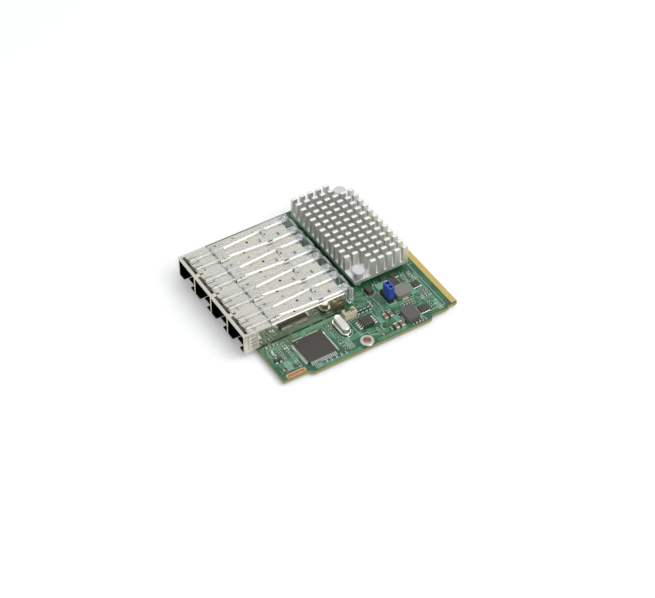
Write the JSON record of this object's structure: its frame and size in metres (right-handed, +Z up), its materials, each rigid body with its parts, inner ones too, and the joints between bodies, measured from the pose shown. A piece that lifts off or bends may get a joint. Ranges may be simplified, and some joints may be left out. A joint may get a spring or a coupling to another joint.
{
  "type": "mezzanine network card",
  "caption": "Server network card with a ganged module cage, clear light guides, a pin-fin heat sink and a keyed edge connector for plugging in above a host board.",
  "frame": {"origin": "under the middle of the card, on the plane of its lowest tails and pin tips", "axes": "+Z up from the board, +Y from the ports to the edge contacts, +X along the row of ports"},
  "size_m": [0.0914, 0.095, 0.0159],
  "materials": {
    "board_laminate": "solder-masked glass-fibre laminate",
    "contact_gold": "gold plated",
    "cage_sheet": "bright nickel-plated sheet",
    "clear_plastic": "clear polycarbonate",
    "lamp_resin": "pale resin",
    "socket_plastic": "black moulded",
    "sink_aluminium": "sawn and tumbled",
    "pad_silicone": "soft pad",
    "chip_epoxy": "moulded epoxy",
    "lead_tin": "tin plated",
    "push_nylon": "moulded nylon",
    "spring_steel": "drawn wire",
    "crystal_metal": "drawn can",
    "seat_plastic": "black moulded",
    "header_nylon": "ivory moulded nylon",
    "jumper_plastic": "black moulded",
    "cap_plastic": "blue moulded",
    "inductor_powder": "pressed metal powder",
    "capacitor_ceramic": "brown fired ceramic",
    "resistor_glaze": "black glazed",
    "bare_copper": "bare copper"
  },
  "bodies": {
    "root": {"cage_cover": "cage_sheet", "cage_divider_1": "cage_sheet", "cage_divider_2": "cage_sheet", "cage_divider_3": "cage_sheet", "cage_floor": "cage_sheet", "circuit_board": "board_laminate", "crystal_can": "crystal_metal", "crystal_feet": "lead_tin", "crystal_seat": "seat_plastic", "diode": "chip_epoxy", "edge_contacts_bottom": "contact_gold", "edge_contacts_top": "contact_gold", "flat_pack": "chip_epoxy", "flat_pack_leads": "lead_tin", "header_housing": "header_nylon", "header_pins": "lead_tin", "heat_sink": "sink_aluminium", "inductor_1": "inductor_powder", "inductor_2": "inductor_powder", "inductor_terminals": "lead_tin", "jumper_base": "jumper_plastic", "jumper_cap": "cap_plastic", "jumper_pins": "contact_gold", "large_capacitor_ends": "lead_tin", "large_capacitors": "capacitor_ceramic", "leadless_chips": "chip_epoxy", "light_guide_1": "clear_plastic", "light_guide_2": "clear_plastic", "light_guide_3": "clear_plastic", "light_guide_4": "clear_plastic", "memory_chip": "chip_epoxy", "memory_leads": "lead_tin", "module_socket_1": "socket_plastic", "module_socket_2": "socket_plastic", "module_socket_3": "socket_plastic", "module_socket_4": "socket_plastic", "mounting_bush": "crystal_metal", "network_controller": "chip_epoxy", "push_pin_1": "push_nylon", "push_pin_2": "push_nylon", "push_spring_1": "spring_steel", "push_spring_2": "spring_steel", "regulator_a": "chip_epoxy", "regulator_b": "chip_epoxy", "regulator_c": "chip_epoxy", "resistor_ends": "lead_tin", "resistors": "resistor_glaze", "small_capacitor_ends": "lead_tin", "small_capacitors": "capacitor_ceramic", "socket_contacts": "contact_gold", "spring_collar": "cage_sheet", "status_lamps": "lamp_resin", "test_strip": "bare_copper", "thermal_pad": "pad_silicone", "transistor": "chip_epoxy", "transistor_leads": "lead_tin"}
  },
  "joints": []
}
